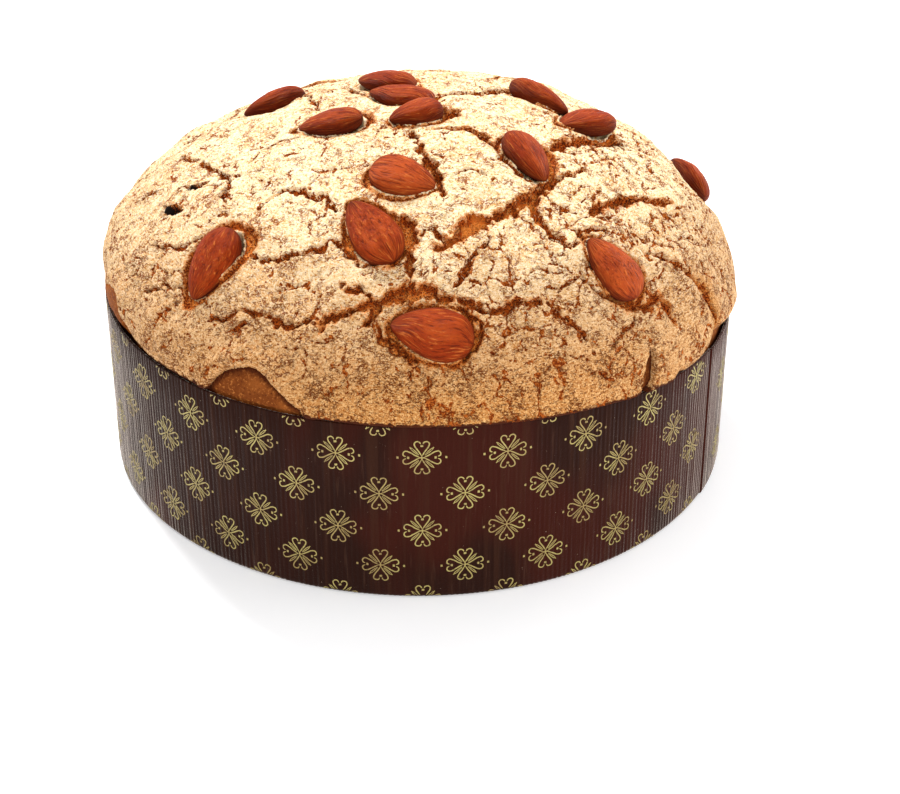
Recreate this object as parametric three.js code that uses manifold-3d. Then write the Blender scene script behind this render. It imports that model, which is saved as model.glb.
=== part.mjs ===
// A low panettone baked in a paper mould: bread, cracked hazelnut glaze and whole almonds.
// Millimetres, +Z up. The origin is the centre of the underside and the front faces -Y.
import * as THREE from 'three';
import { mergeVertices } from 'three/addons/utils/BufferGeometryUtils.js';
import Module from 'manifold-3d';

const manifold = await Module();
manifold.setup();

// Driving dimensions
const MOULD_RADIUS = 105;
const MOULD_HEIGHT = 61.5;
const PAPER = 1;
const GAP = 0.3;

const DOME_BASE = 62;
const DOME_RADIUS = 106;
const DOME_RISE = 59;
const DOME_FULLNESS = 1.23;
const DOME_SHIFT = 1.3;
const DOME_LEAN = 5.5;
const FRONT_OVERHANG = 1.3;

// The dome is leaner at the back right and fuller along one diagonal, most of all at the shoulder
const LEAN_SIDE = { share: -0.075, azimuth: 1.95 };
const FULL_DIAGONAL = { share: 0.064, azimuth: 1.21 };
const SHOULDER = 2.5;

// The rim dips to the right, and the dome's base with it
const RIM_DIP = { drop: 6.5, azimuth: 1.31, reach: 1.31 };
const RIM_DIP_FADE = 4;

const GLAZE_TOP = 5;
const GLAZE_EDGE = 2;
const GLAZE_TAPER = 25;
const GLAZE_FLOOR = 0.8;
const LUMP_HEIGHT = 0.6;
const SMOOTH_RIM = [2, 20];

const CRACK_DEPTH = 3.8;
const CRACK_DEPTH_BEYOND_WIDTH = 0.8;
const CRACK_STEP = 6.5;
const CRACK_TAPER = 7;
const CRACK_WANDER = 0.9;
const CRACK_FLOOR_SHARE = 0.35;
const CRACK_FLARE = 1.3;
const CRACK_END_SHARE = 0.35;
const CRACK_SEED = 7;
const CUTTER_RISE = 2;
const PATCH_DEPTH = 7;

const ALMOND_HEIGHT = 8.4;
const ALMOND_TAPER = 0.3;
const ALMOND_LIFT = 0.2;
const ALMOND_CLEARANCE = GAP + 0.1;

const BREAD_SHOULDER = 1;

const GRID_RINGS = 15;
const GRID_SIDES = 54;
const INNER_RINGS = 7;
const MOULD_SIDES = 72;
const ALMOND_SIDES = 10;
const ALMOND_RINGS = 6;
const SECTION_STEPS = 800;
const NORMAL_STEP = 0.5;

const DEGREE = Math.PI / 180;

// Where the glaze stops short and bares the bread: outlines in skin coordinates
const BARE_PATCHES = [
  [[-77, -107], [-67, -102], [-61, -101], [-56, -103], [-53, -109], [-44, -121], [-52, -134], [-86, -118]],
  [[-132, -24], [-122, -28], [-115, -44], [-111, -56], [-116, -66], [-132, -62]],
  [[106, -59], [106, -65], [105, -70], [98, -84], [130, -78], [138, -34], [125, -34], [112, -53]],
  [[26, 132], [30, 121], [40, 114], [50, 111], [58, 113], [66, 126], [46, 140]],
  [[-94, 97], [-84, 89], [-76, 91], [-70, 99], [-76, 118], [-100, 112]],
];

// Cracks: the width, then the route in skin coordinates
const CRACKS = [
  [1.3, [-81, 4], [-73, -12], [-66, -25], [-65, -41]],
  [1.6, [-58, -21], [-55, -13], [-44, -13]],
  [1.8, [-56, -46], [-50, -42], [-40, -45], [-30, -57]],
  [1.8, [-58, -64], [-50, -70], [-35, -71], [-31, -68], [-22, -77], [-11, -79]],
  [2.4, [-31, 22], [-23, 11]],
  [1.4, [-45, 25], [-38, 4]],
  [3.0, [-81, -22], [-73, -23]],
  [3.2, [-87, -24], [-80, -31]],
  [3.0, [-3, -21], [11, -21], [20, -28]],
  [4.0, [-1, -7], [7, -12]],
  [2.4, [19, -27], [22, -36], [32, -44]],
  [4.6, [34, -44], [30, -52], [18, -61], [10, -67], [2, -74]],
  [3.4, [32, -28], [43, -18], [54, -10], [64, 0]],
  [2.6, [32, -46], [42, -38], [48, -30]],
  [2.2, [35, -48], [31, -56], [37, -63], [44, -67]],
  [2.8, [-6, -30], [-2, -39], [2, -54]],
  [2.0, [-8, -21], [-6, -29], [-8, -37]],
  [3.8, [-10, -61], [-7, -69], [-8, -80]],
  [1.6, [8, -88], [12, -81], [17, -70]],
  [2.2, [-1, 2], [10, 8], [26, 18]],
  [2.0, [37, 26], [45, 19], [55, 18]],
  [3.0, [50, -52], [57, -43], [70, -34], [81, -28]],
  [1.4, [50, -17], [59, -22], [68, -24]],
  [1.5, [72, -57], [84, -57], [94, -57]],
  [2.2, [45, -65], [48, -60], [56, -56]],
  [2.0, [90, 12], [97, 6], [101, -4]],
  [1.6, [-72, -81], [-53, -87], [-45, -93], [-34, -97]],
  [3.2, [-35, -97], [-28, -94], [-20, -94]],
  [2.4, [-28, -85], [-18, -89]],
  [4.6, [-19, -93], [-11, -90], [-2, -90], [8, -92]],
  [2.3, [8, -92], [22, -94], [29, -90], [37, -87]],
  [1.7, [37, -87], [48, -93], [58, -98]],
  [2.6, [-9, -71], [-7, -79], [-6, -89]],
  [3.0, [9, -94], [17, -100], [14, -108]],
  [2.6, [-16, -97], [-11, -106], [-2, -111]],
  [1.8, [49, -76], [57, -81]],
  [3.2, [57, -80], [70, -77], [80, -71], [87, -74]],
  [1.4, [68, -80], [70, -84], [63, -94]],
  [2.8, [81, -87], [84, -100]],
  [2.2, [90, -40], [94, -51], [105, -58]],
  [1.4, [56, -104], [71, -101]],
  [1.3, [-97, -73], [-89, -69], [-80, -72]],
  [1.4, [-89, -41], [-81, -49], [-72, -50]],
  [3.4, [-54, 40], [-42, 46], [-28, 42], [-14, 48]],
  [2.2, [-14, 48], [-4, 60], [4, 76]],
  [1.8, [-72, 24], [-68, 42], [-74, 56]],
  [3.8, [16, 32], [26, 42], [30, 58], [24, 72]],
  [1.8, [30, 58], [44, 66], [56, 64]],
  [2.2, [58, 34], [70, 44], [74, 60], [66, 74]],
  [1.6, [-54, 40], [-56, 58], [-48, 76]],
  [3.0, [-48, 76], [-36, 84], [-26, 86]],
  [1.8, [4, 84], [14, 94], [12, 106]],
  [1.4, [-42, 98], [-32, 106], [-36, 114]],
  [2.6, [-94, 20], [-102, 34], [-98, 48]],
  [1.6, [88, 40], [96, 30], [102, 36]],
];

// Almonds: centre, heading of the tip and roll in degrees, length and width, tip raised in degrees
const ALMONDS = [
  { at: [-10, -46], heading: -26, length: 22, width: 14, roll: 8, pitch: -4 },
  { at: [-19, -67], heading: 118, length: 26, width: 14.5, roll: 0, pitch: 4 },
  { at: [-69, -63], heading: -131, length: 25, width: 13.5, roll: -12, pitch: -3 },
  { at: [2, -102], heading: 169, length: 25, width: 15, roll: 0, pitch: 3 },
  { at: [59, -69], heading: 147, length: 23, width: 14.5, roll: 4, pitch: 2 },
  { at: [29, -32], heading: -60, length: 23, width: 12.5, roll: -14, pitch: -3 },
  { at: [49, 0], heading: 215, length: 22, width: 14.5, roll: 18, pitch: -6 },
  { at: [34, 12], heading: -39, length: 24, width: 11, roll: -22, pitch: -2 },
  { at: [-34, -10], heading: 164, length: 22, width: 13, roll: 14, pitch: -5 },
  { at: [-54, 28], heading: 192, length: 22, width: 12, roll: 24, pitch: 0 },
  { at: [-17, 21], heading: 157, length: 21, width: 12, roll: 6, pitch: 5 },
  { at: [-12, 7], heading: 153, length: 24, width: 13, roll: 10, pitch: 4 },
  { at: [-7, -11], heading: 199, length: 18, width: 11.5, roll: 12, pitch: -2 },
  { at: [99, 19], heading: 118, length: 22, width: 13, roll: 10, pitch: 0 },
  { at: [-36, 92], heading: 30, length: 24, width: 14, roll: 6, pitch: 3 },
  { at: [2, 88], heading: -70, length: 23, width: 13.5, roll: -8, pitch: 0 },
  { at: [74, 76], heading: 110, length: 25, width: 14, roll: 10, pitch: -3 },
  { at: [-66, 82], heading: 40, length: 24, width: 13.5, roll: 0, pitch: 2 },
  { at: [-16, 114], heading: 15, length: 25, width: 14.5, roll: -6, pitch: 0 },
  { at: [44, 92], heading: 150, length: 23, width: 13, roll: 12, pitch: 2 },
];

// A seeded draw between 0 and 1
function seeded(seed) {
  let state = seed;
  return () => {
    state = (state * 1664525 + 1013904223) % 4294967296;
    return state / 4294967296;
  };
}

// The dome's half section from the top down, as radius and height
class DomeSection extends THREE.Curve {
  getPoint(t, target = new THREE.Vector3()) {
    const angle = t * Math.PI / 2;
    const height = Math.max(Math.cos(angle), 0) ** DOME_FULLNESS;
    return target.set(DOME_RADIUS * Math.sin(angle), DOME_RISE * height, 0);
  }
}

const section = new DomeSection();
section.arcLengthDivisions = SECTION_STEPS;
const SKIN_LENGTH = section.getLength();

// Angle from the top of a point that lies so many mm down the skin
function skinAngle(distance) {
  const share = Math.min(distance / SKIN_LENGTH, 1);
  return section.getUtoTmapping(share) * Math.PI / 2;
}

function rimDip(azimuth) {
  const apart = THREE.MathUtils.euclideanModulo(azimuth - RIM_DIP.azimuth + Math.PI, 2 * Math.PI);
  const turn = Math.min(Math.abs(apart - Math.PI) / RIM_DIP.reach, 1);
  return RIM_DIP.drop * (1 + Math.cos(Math.PI * turn)) / 2;
}

function domePoint(angle, azimuth) {
  const rise = Math.max(Math.cos(angle), 0) ** DOME_FULLNESS;
  const shoulder = SHOULDER * Math.sin(angle) ** 3 * rise;
  const lean = LEAN_SIDE.share * Math.cos(azimuth - LEAN_SIDE.azimuth);
  const full = FULL_DIAGONAL.share * Math.cos(2 * (azimuth - FULL_DIAGONAL.azimuth));
  const forward = Math.cos(azimuth) + (Math.cos(2 * azimuth) - 1) / 2;
  const rimSwell = FRONT_OVERHANG * forward * Math.sin(angle) ** 8;
  const radius = DOME_RADIUS * Math.sin(angle) * (1 + (lean + full) * shoulder) + rimSwell;
  const centre = DOME_SHIFT + DOME_LEAN * rise;
  return new THREE.Vector3(
    centre + radius * Math.sin(azimuth),
    -radius * Math.cos(azimuth),
    DOME_BASE + DOME_RISE * rise - rimDip(azimuth) * (1 - rise) ** RIM_DIP_FADE,
  );
}

// Skin coordinates: u to the right and v to the back, in mm along the skin from the top.
// Past the dome's base the skin goes straight down.
function smoothSkin(u, v) {
  const distance = Math.hypot(u, v);
  const point = domePoint(skinAngle(distance), Math.atan2(u, -v));
  point.z -= Math.max(distance - SKIN_LENGTH, 0);
  return point;
}

function skinNormal(u, v) {
  const across = smoothSkin(u + NORMAL_STEP, v).sub(smoothSkin(u - NORMAL_STEP, v));
  const along = smoothSkin(u, v + NORMAL_STEP).sub(smoothSkin(u, v - NORMAL_STEP));
  return across.cross(along).normalize();
}

function lumps(u, v) {
  const wide = Math.sin(0.11 * u - 0.07 * v + 0.8) * Math.sin(0.09 * v + 0.05 * u + 1.9);
  const fine = Math.sin(0.23 * u + 1.3) * Math.sin(0.21 * v + 0.4);
  return LUMP_HEIGHT * (wide + fine);
}

// A point of the lumpy outer face, or so many mm above it
function outerPoint(u, v, above) {
  const rimFade = THREE.MathUtils.smoothstep(SKIN_LENGTH - Math.hypot(u, v), ...SMOOTH_RIM);
  const raise = lumps(u, v) * rimFade + above;
  return smoothSkin(u, v).addScaledVector(skinNormal(u, v), raise);
}

function innerPoint(u, v, depth) {
  return smoothSkin(u, v).addScaledVector(skinNormal(u, v), -depth);
}

function glazeThickness(distance) {
  const inland = THREE.MathUtils.smoothstep(SKIN_LENGTH - distance, 0, GLAZE_TAPER);
  return GLAZE_EDGE + (GLAZE_TOP - GLAZE_EDGE) * inland;
}

// The glaze's inner face, lowered by a gap where the bread follows it
function underside(share, azimuth, gap) {
  const distance = share * SKIN_LENGTH;
  const depth = glazeThickness(distance) + gap;
  const point = innerPoint(distance * Math.sin(azimuth), -distance * Math.cos(azimuth), depth);
  point.z = Math.max(point.z, DOME_BASE - rimDip(azimuth) - gap);
  return point;
}

// A closed solid lofted through rings of points, with a single point at either end. Two faces that
// follow each other in opposite orders match when one of them leans its quads' diagonals back.
function ringSolid(rings, first, last, leanBack) {
  const sides = rings[0].length;
  const points = [first, ...rings.flat(), last];
  const index = [];
  const at = (ring, side) => 1 + ring * sides + side % sides;
  for (let side = 0; side < sides; side += 1) {
    index.push(0, at(0, side), at(0, side + 1));
    for (let ring = 0; ring < rings.length - 1; ring += 1) {
      const [a, b] = [at(ring, side), at(ring, side + 1)];
      const [c, d] = [at(ring + 1, side), at(ring + 1, side + 1)];
      index.push(...(leanBack ? [a, c, b, b, c, d] : [a, c, d, a, d, b]));
    }
    index.push(points.length - 1, at(rings.length - 1, side + 1), at(rings.length - 1, side));
  }
  const geometry = new THREE.BufferGeometry().setFromPoints(points);
  geometry.setIndex(index);
  return geometry;
}

function ringOf(sides, place) {
  return Array.from({ length: sides }, (_, side) => place(2 * Math.PI * side / sides));
}

// Merges what coincides and hands the closed mesh over for cutting and joining
function toSolid(geometry) {
  const bare = geometry.clone();
  bare.deleteAttribute('normal');
  bare.deleteAttribute('uv');
  const merged = mergeVertices(bare, 1e-4);
  const mesh = new manifold.Mesh({
    numProp: 3,
    vertProperties: new Float32Array(merged.attributes.position.array),
    triVerts: new Uint32Array(merged.index.array),
  });
  return new manifold.Manifold(mesh);
}

function toGeometry(solid) {
  const mesh = solid.getMesh();
  const geometry = new THREE.BufferGeometry();
  geometry.setAttribute('position', new THREE.BufferAttribute(mesh.vertProperties, 3));
  geometry.setIndex(new THREE.BufferAttribute(mesh.triVerts, 1));
  return geometry;
}

// Drops the scraps that a cut leaves loose
function withoutScraps(solid) {
  const pieces = solid.decompose();
  return pieces.reduce((best, piece) => (piece.volume() > best.volume() ? piece : best));
}

// The paper cup
function mouldGeometry() {
  const inside = MOULD_RADIUS - PAPER;
  const outline = [
    [0, 0],
    [MOULD_RADIUS, 0],
    [MOULD_RADIUS, MOULD_HEIGHT],
    [inside, MOULD_HEIGHT],
    [inside, PAPER],
    [0, PAPER],
  ];
  const lathe = new THREE.LatheGeometry(outline.map(([r, z]) => new THREE.Vector2(r, z)), MOULD_SIDES);
  lathe.rotateX(Math.PI / 2);
  const position = lathe.attributes.position;
  for (let i = 0; i < position.count; i += 1) {
    if (position.getZ(i) > MOULD_HEIGHT - PAPER) {
      position.setZ(i, MOULD_HEIGHT - rimDip(Math.atan2(position.getX(i), -position.getY(i))));
    }
  }
  return lathe;
}

// The bread fills the mould and rises under the glaze
function cakeGeometry() {
  const limit = MOULD_RADIUS - PAPER - GAP;
  const floor = PAPER + GAP;
  const wallRing = (height) => ringOf(GRID_SIDES, (azimuth) => (
    new THREE.Vector3(limit * Math.sin(azimuth), -limit * Math.cos(azimuth), height(azimuth))
  ));
  const domeRing = (share) => ringOf(GRID_SIDES, (azimuth) => {
    const point = underside(share, azimuth, GAP);
    const inward = Math.min(1, limit / Math.hypot(point.x, point.y));
    return point.multiply(new THREE.Vector3(inward, inward, 1));
  });
  const rings = [];
  for (let ring = 1; ring <= INNER_RINGS; ring += 1) {
    rings.push(domeRing(ring / INNER_RINGS));
  }
  rings.push(wallRing((azimuth) => MOULD_HEIGHT - BREAD_SHOULDER - rimDip(azimuth)), wallRing(() => floor));
  const top = innerPoint(0, 0, GLAZE_TOP + GAP);
  return ringSolid(rings, top, new THREE.Vector3(0, 0, floor), true);
}

// The glaze before it is cracked: a shell that thins towards its edge
function glazeShell() {
  const outerRing = (share) => ringOf(GRID_SIDES, (azimuth) => {
    const distance = share * SKIN_LENGTH;
    return outerPoint(distance * Math.sin(azimuth), -distance * Math.cos(azimuth), 0);
  });
  const rings = [];
  for (let ring = 1; ring <= GRID_RINGS; ring += 1) {
    rings.push(outerRing(ring / GRID_RINGS));
  }
  for (let ring = INNER_RINGS; ring >= 1; ring -= 1) {
    rings.push(ringOf(GRID_SIDES, (azimuth) => underside(ring / INNER_RINGS, azimuth, 0)));
  }
  return ringSolid(rings, outerPoint(0, 0, 0), innerPoint(0, 0, GLAZE_TOP), false);
}

// Stations every few mm along a crack, each pushed a little to the side
function crackStations(route, random) {
  const corners = route.map(([u, v]) => new THREE.Vector2(u, v));
  const curve = new THREE.SplineCurve(corners);
  const length = curve.getLength();
  const count = Math.max(2, Math.round(length / CRACK_STEP));
  const stations = [];
  for (let i = 0; i <= count; i += 1) {
    const at = curve.getPointAt(i / count);
    const along = curve.getTangentAt(i / count);
    const wander = CRACK_WANDER * (2 * random() - 1);
    const fromEnd = Math.min(i, count - i) * length / count;
    stations.push({
      u: at.x - along.y * wander,
      v: at.y + along.x * wander,
      along,
      share: CRACK_END_SHARE + (1 - CRACK_END_SHARE) * Math.min(1, fromEnd / CRACK_TAPER),
    });
  }
  return stations;
}

// A plug through the glaze in the shape of a bare patch
function patchCutter(outline) {
  const corners = outline.map(([u, v]) => new THREE.Vector2(u, v));
  if (THREE.ShapeUtils.isClockWise(corners)) {
    corners.reverse();
  }
  const top = corners.map(({ x, y }) => outerPoint(x, y, CUTTER_RISE));
  const bottom = corners.map(({ x, y }) => innerPoint(x, y, PATCH_DEPTH));
  const middle = (ring) => ring.reduce((sum, point) => sum.add(point), new THREE.Vector3())
    .divideScalar(ring.length);
  return ringSolid([top, bottom], middle(top), middle(bottom), false);
}

// The wedge that is taken out of the glaze along a crack
function crackCutter([width, ...route], random) {
  const points = [];
  const stations = crackStations(route, random);
  for (const { u, v, along, share } of stations) {
    const spare = glazeThickness(Math.hypot(u, v)) - GLAZE_FLOOR;
    const depth = Math.min(spare, CRACK_DEPTH, CRACK_DEPTH_BEYOND_WIDTH + width);
    const normal = skinNormal(u, v);
    const ahead = smoothSkin(u + along.x, v + along.y).sub(smoothSkin(u, v)).normalize();
    const side = new THREE.Vector3().crossVectors(normal, ahead);
    const half = width * share / 2;
    const top = outerPoint(u, v, CUTTER_RISE);
    const bottom = innerPoint(u, v, depth);
    const [wide, narrow] = [half * CRACK_FLARE, half * CRACK_FLOOR_SHARE];
    points.push(
      top.clone().addScaledVector(side, wide),
      bottom.clone().addScaledVector(side, narrow),
      bottom.clone().addScaledVector(side, -narrow),
      top.clone().addScaledVector(side, -wide),
    );
  }
  const index = [0, 1, 2, 0, 2, 3];
  const last = points.length - 4;
  for (let start = 0; start < last; start += 4) {
    for (let corner = 0; corner < 4; corner += 1) {
      const [a, b] = [start + corner, start + (corner + 1) % 4];
      index.push(a, a + 4, b, b, a + 4, b + 4);
    }
  }
  index.push(last, last + 2, last + 1, last, last + 3, last + 2);
  const geometry = new THREE.BufferGeometry().setFromPoints(points);
  geometry.setIndex(index);
  return geometry;
}

// An almond along +X with its tip in front, grown on all sides by a clearance
function almondGeometry(length, width, grow) {
  const geometry = new THREE.SphereGeometry(1, ALMOND_SIDES, ALMOND_RINGS).rotateZ(-Math.PI / 2);
  const position = geometry.attributes.position;
  for (let i = 0; i < position.count; i += 1) {
    const x = position.getX(i);
    const slim = 1 - ALMOND_TAPER * x;
    position.setXYZ(
      i,
      x * (length / 2 + grow),
      position.getY(i) * (width / 2 * slim + grow),
      position.getZ(i) * (ALMOND_HEIGHT / 2 * (1 - ALMOND_TAPER * x / 2) + grow),
    );
  }
  return geometry;
}

function placeAlmond(mesh, { at: [u, v], heading, roll, pitch }) {
  const normal = skinNormal(u, v);
  const right = smoothSkin(u + 1, v).sub(smoothSkin(u, v)).normalize();
  const back = new THREE.Vector3().crossVectors(normal, right);
  const ahead = right.multiplyScalar(Math.cos(heading * DEGREE))
    .addScaledVector(back, Math.sin(heading * DEGREE));
  const side = new THREE.Vector3().crossVectors(normal, ahead);
  mesh.quaternion.setFromRotationMatrix(new THREE.Matrix4().makeBasis(ahead, side, normal));
  mesh.rotateX(roll * DEGREE);
  mesh.rotateY(-pitch * DEGREE);
  mesh.position.copy(outerPoint(u, v, ALMOND_LIFT));
  mesh.updateMatrixWorld(true);
}

function piece(name, geometry, material) {
  const mesh = new THREE.Mesh(geometry, new THREE.MeshStandardMaterial(material));
  mesh.name = name;
  return mesh;
}

const panettone = new THREE.Group();

let glaze = toSolid(glazeShell());
let cake = toSolid(cakeGeometry());

const random = seeded(CRACK_SEED);
for (const crack of CRACKS) {
  glaze = glaze.subtract(toSolid(crackCutter(crack, random)));
}
for (const outline of BARE_PATCHES) {
  glaze = glaze.subtract(toSolid(patchCutter(outline)));
}

ALMONDS.forEach((almond, i) => {
  const name = `almond_${String(i + 1).padStart(2, '0')}`;
  const shape = almondGeometry(almond.length, almond.width, 0);
  const mesh = piece(name, shape, { color: 0x8f4423, roughness: 0.6, metalness: 0 });
  placeAlmond(mesh, almond);
  panettone.add(mesh);
  const pocket = almondGeometry(almond.length, almond.width, ALMOND_CLEARANCE);
  const cutter = toSolid(pocket.applyMatrix4(mesh.matrixWorld));
  glaze = glaze.subtract(cutter);
  cake = cake.subtract(cutter);
});

glaze = withoutScraps(glaze);
cake = withoutScraps(cake);
panettone.add(piece('mould', mouldGeometry(), { color: 0x3a2620, roughness: 0.75, metalness: 0 }));
panettone.add(piece('cake', toGeometry(cake), { color: 0x9c5c2c, roughness: 0.9, metalness: 0 }));
panettone.add(piece('glaze', toGeometry(glaze), { color: 0xe3c79c, roughness: 0.95, metalness: 0 }));

export default panettone;
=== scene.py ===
"""A low panettone in its printed paper mould: cracked glaze, bare bread, almonds and print.

Sizes are in millimetres and become metres when a mesh is made. The dome is described in skin
coordinates, which are millimetres along the surface from its top: u to the right, v to the back.
"""
import itertools
import math

import bpy
import numpy as np
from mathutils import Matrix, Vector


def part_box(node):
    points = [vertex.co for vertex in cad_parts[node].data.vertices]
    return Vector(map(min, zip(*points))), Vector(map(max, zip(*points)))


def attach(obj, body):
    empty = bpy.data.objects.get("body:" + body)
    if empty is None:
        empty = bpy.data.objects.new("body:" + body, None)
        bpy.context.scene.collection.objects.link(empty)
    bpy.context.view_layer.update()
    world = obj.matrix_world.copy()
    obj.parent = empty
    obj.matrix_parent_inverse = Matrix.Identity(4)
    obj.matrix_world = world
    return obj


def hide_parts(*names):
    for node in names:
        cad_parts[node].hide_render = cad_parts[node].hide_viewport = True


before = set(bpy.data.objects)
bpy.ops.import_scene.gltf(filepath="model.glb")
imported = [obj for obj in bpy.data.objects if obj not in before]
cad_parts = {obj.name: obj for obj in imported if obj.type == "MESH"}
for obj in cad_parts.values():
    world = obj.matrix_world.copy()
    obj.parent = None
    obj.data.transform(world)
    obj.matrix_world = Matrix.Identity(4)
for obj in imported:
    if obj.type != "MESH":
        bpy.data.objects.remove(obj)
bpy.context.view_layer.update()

MM = 0.001

# The mould and the dome, as in the solids
MOULD_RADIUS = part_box("mould")[1].x / MM
MOULD_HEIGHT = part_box("mould")[1].z / MM
PAPER = 1.0
DOME_BASE = MOULD_HEIGHT + 0.5
DOME_RADIUS = 106.0
DOME_RISE = 59.0
DOME_FULLNESS = 1.23
DOME_SHIFT = 1.3
DOME_LEAN = 5.5
FRONT_OVERHANG = 1.3
LEAN_SIDE = (-0.075, 1.95)
FULL_DIAGONAL = (0.064, 1.21)
SHOULDER = 2.5
LUMP_HEIGHT = 0.6

# The rim dips to the right, and the dome's base with it: the drop, the azimuth and the reach
RIM_DIP = (6.5, 1.31, 1.31)
RIM_DIP_FADE = 4

# The glaze
GLAZE_THICKNESS = 6.0
GLAZE_RINGS = 288
INNER_STEP = 8
CRACK_DEPTH = 3.6
RANDOM_CRACKS = 520
LIP_RADIUS = 1.3
RIM_TUCK = 1.6

# Browning of the glaze, from 0 to 1, with the front's extra partly painted shade: where it starts, its share
# all round, the front's extra, its azimuth
BROWNING_AND_FRONT_SHADE = (58, 0.47, 0.53, 0.1)

# Where the glaze stops short of the rim: how deep the bread lies, the lip's radius, the outline
BARE_PATCHES = {
    "notch": (2.2, 2.2, [(-79, -110), (-79, -105), (-77, -102), (-72, -100.5), (-66, -100.5), (-60, -102),
                         (-55.5, -105.5), (-51, -111), (-46, -117.5), (-42, -123), (-52, -140), (-84, -128)]),
    "left": (-0.5, 1.4, [(-140, -26), (-125, -29), (-118, -34), (-113, -41), (-110.5, -47), (-111.5, -52),
                         (-113, -57), (-113, -63), (-118, -76), (-140, -80)]),
    "fold": (3.4, 2.0, [(108.4, -61.5), (108.6, -65), (107, -70), (103.5, -76), (100, -81), (96, -87),
                        (110, -100), (134, -80), (144, -28), (131, -20), (125.5, -29), (120.5, -40),
                        (115.5, -49.5), (111.5, -56)]),
    "slit": (1.4, 0.7, [(79, -87), (81, -88), (83, -92), (85, -98), (88, -108), (82, -110), (81, -100),
                        (79.5, -96), (78.5, -91)]),
    "back": (1.5, 1.6, [(26, 132), (30, 121), (40, 114), (50, 111), (58, 113), (66, 126), (46, 140)]),
    "back_left": (1.5, 1.6, [(-94, 97), (-84, 89), (-76, 91), (-70, 99), (-76, 118), (-100, 112)]),
}

# The bread: points round it and the room it leaves inside the paper
BREAD_SIDES = 420
BREAD_ROOM = 0.4

# Where the cake has shrunk from the mould: the azimuth, the spread and the gap
SHRUNK = (math.radians(-65), math.radians(7), 2.6)

# Spots in the widest cracks where smooth orange crust shows: the place and the radius
SMOOTH_CRUST = [(3, -75, 2.4), (6, -71, 2.2), (0, -79, 2.0), (14, -62, 2.6), (11, -66, 2.0), (-14, -81, 2.0),
                (-3, -87, 1.6), (37, -53, 2.4), (32, -54, 2.2), (29, -58, 2.0), (-6, -91, 1.4),
                (34, 38, 2.2), (-30, 84, 2.0), (30, 55, 2.4)]

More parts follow.
